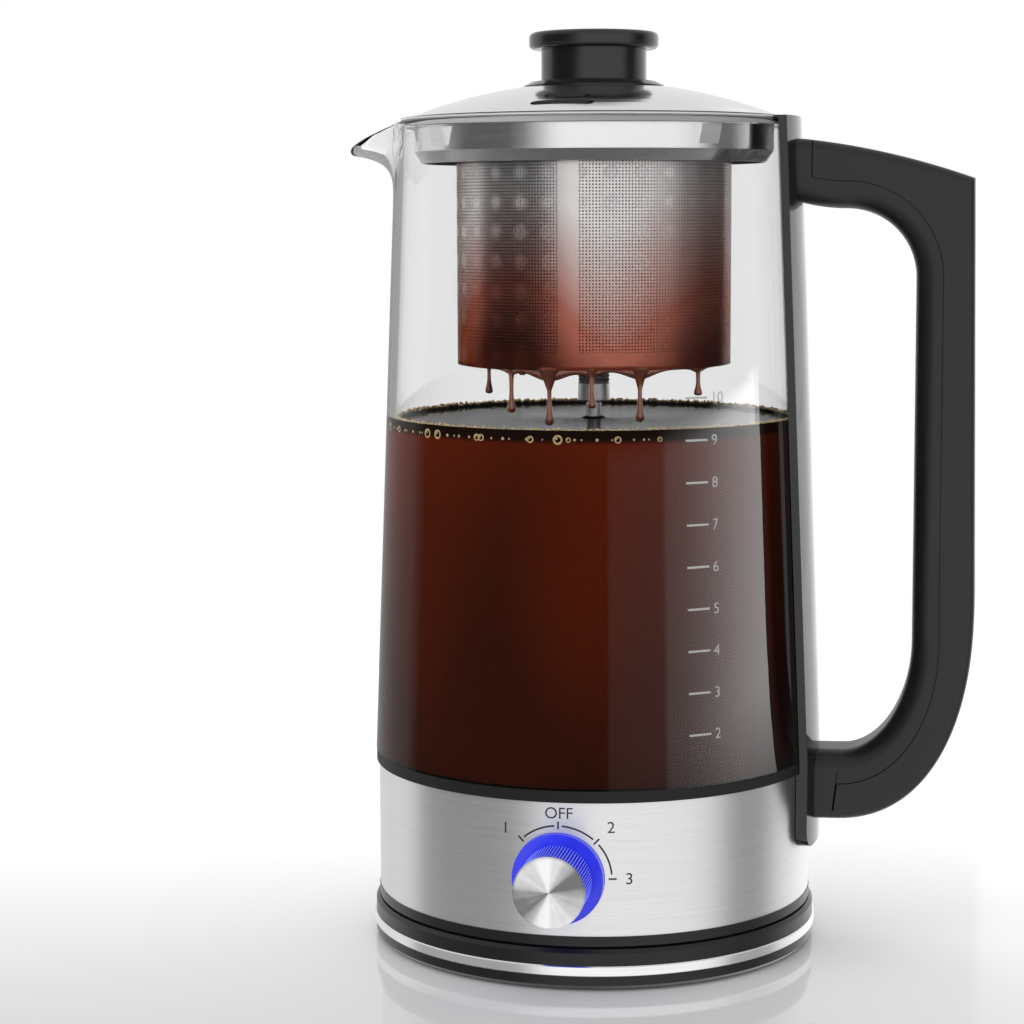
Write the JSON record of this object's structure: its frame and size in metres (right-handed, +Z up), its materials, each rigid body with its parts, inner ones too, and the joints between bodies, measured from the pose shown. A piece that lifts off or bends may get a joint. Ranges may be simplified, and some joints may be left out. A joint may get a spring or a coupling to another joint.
{
  "type": "electric percolator",
  "caption": "Electric coffee percolator: tapered glass carafe on a steel heating band, with a side handle, dial, mesh brew basket on a pump tube, domed lid and round power base.",
  "frame": {"origin": "centre of the round face that the power base stands on", "axes": "+Z up along the percolator's axis, +X towards the handle, -X towards the spout, -Y towards the dial"},
  "size_m": [0.1877, 0.15, 0.2705],
  "materials": {
    "black_plastic": "satin black heat-proof plastic",
    "gloss_black": "glossy black plastic",
    "rubber": "matt black rubber",
    "clear_silicone": "translucent clear silicone",
    "polished_steel": "polished stainless steel",
    "brushed_steel": "stainless steel brushed around the band",
    "mesh_steel": "fine woven and perforated stainless steel",
    "screw_steel": "plain zinc-plated steel",
    "aluminium": "plain rolled aluminium",
    "brass": "plain brass",
    "clear_glass": "clear heat-proof glass",
    "circuit_board": "green circuit board",
    "wire_red": "red wire insulation",
    "wire_brown": "brown wire insulation",
    "wire_grey": "grey insulation",
    "lit_blue": "clear plastic lit blue from inside"
  },
  "bodies": {
    "power_base": {"base_lower_cover": "black_plastic", "base_foot_ring": "rubber", "base_trim_ring": "polished_steel", "base_upper_cover": "black_plastic", "base_connector": "black_plastic", "base_contacts": "brass", "base_screws": "screw_steel", "cord_gland": "rubber"},
    "kettle": {"kettle_bottom_cover": "black_plastic", "bottom_screws": "screw_steel", "kettle_connector": "black_plastic", "kettle_contacts": "brass", "steel_band": "brushed_steel", "heater_plate": "brushed_steel", "heat_spreader": "aluminium", "heating_element": "screw_steel", "thermostat": "black_plastic", "temperature_probe": "screw_steel", "control_board": "circuit_board", "heater_leads": "wire_red", "supply_leads": "wire_brown", "ribbon_lead": "wire_grey", "light_ring": "lit_blue", "light_board": "wire_grey", "rotary_switch": "black_plastic", "switch_nut": "screw_steel", "glass_seal": "rubber", "carafe_glass": "clear_glass", "handle_spine": "black_plastic", "handle_grip": "black_plastic", "handle_cover": "black_plastic", "handle_screws": "screw_steel", "band_screws": "screw_steel"},
    "control_knob": {"knob_body": "lit_blue", "knob_cap": "polished_steel", "knob_shaft": "screw_steel"},
    "pump": {"pump_tube": "polished_steel", "pump_foot": "polished_steel", "pump_collar": "polished_steel"},
    "basket": {"basket_mesh": "mesh_steel", "basket_drum": "mesh_steel", "basket_floor": "brushed_steel", "basket_rim": "polished_steel", "basket_sleeve": "brushed_steel"},
    "spreader": {"basket_cover": "brushed_steel"},
    "lid": {"lid_dome": "polished_steel", "lid_skirt": "polished_steel", "lid_gasket": "clear_silicone", "lid_knob": "gloss_black", "lid_screw": "screw_steel", "lid_washer": "screw_steel"}
  },
  "joints": [
    {"name": "kettle_lift", "type": "slide", "parent": "power_base", "child": "kettle", "axis": [0, 0, 1], "range_m": [0, 0.06]},
    {"name": "knob_turn", "type": "hinge", "parent": "kettle", "child": "control_knob", "pos_m": [0, -0.0652, 0.0323], "axis": [0, 1, 0], "range_deg": [-45, 90]},
    {"name": "pump_lift", "type": "slide", "parent": "kettle", "child": "pump", "axis": [0, 0, 1], "range_m": [0, 0.2]},
    {"name": "basket_lift", "type": "slide", "parent": "pump", "child": "basket", "axis": [0, 0, 1], "range_m": [0, 0.09]},
    {"name": "cover_lift", "type": "slide", "parent": "basket", "child": "spreader", "axis": [0, 0, 1], "range_m": [0, 0.08]},
    {"name": "lid_lift", "type": "slide", "parent": "spreader", "child": "lid", "axis": [0, 0, 1], "range_m": [0, 0.06]}
  ]
}
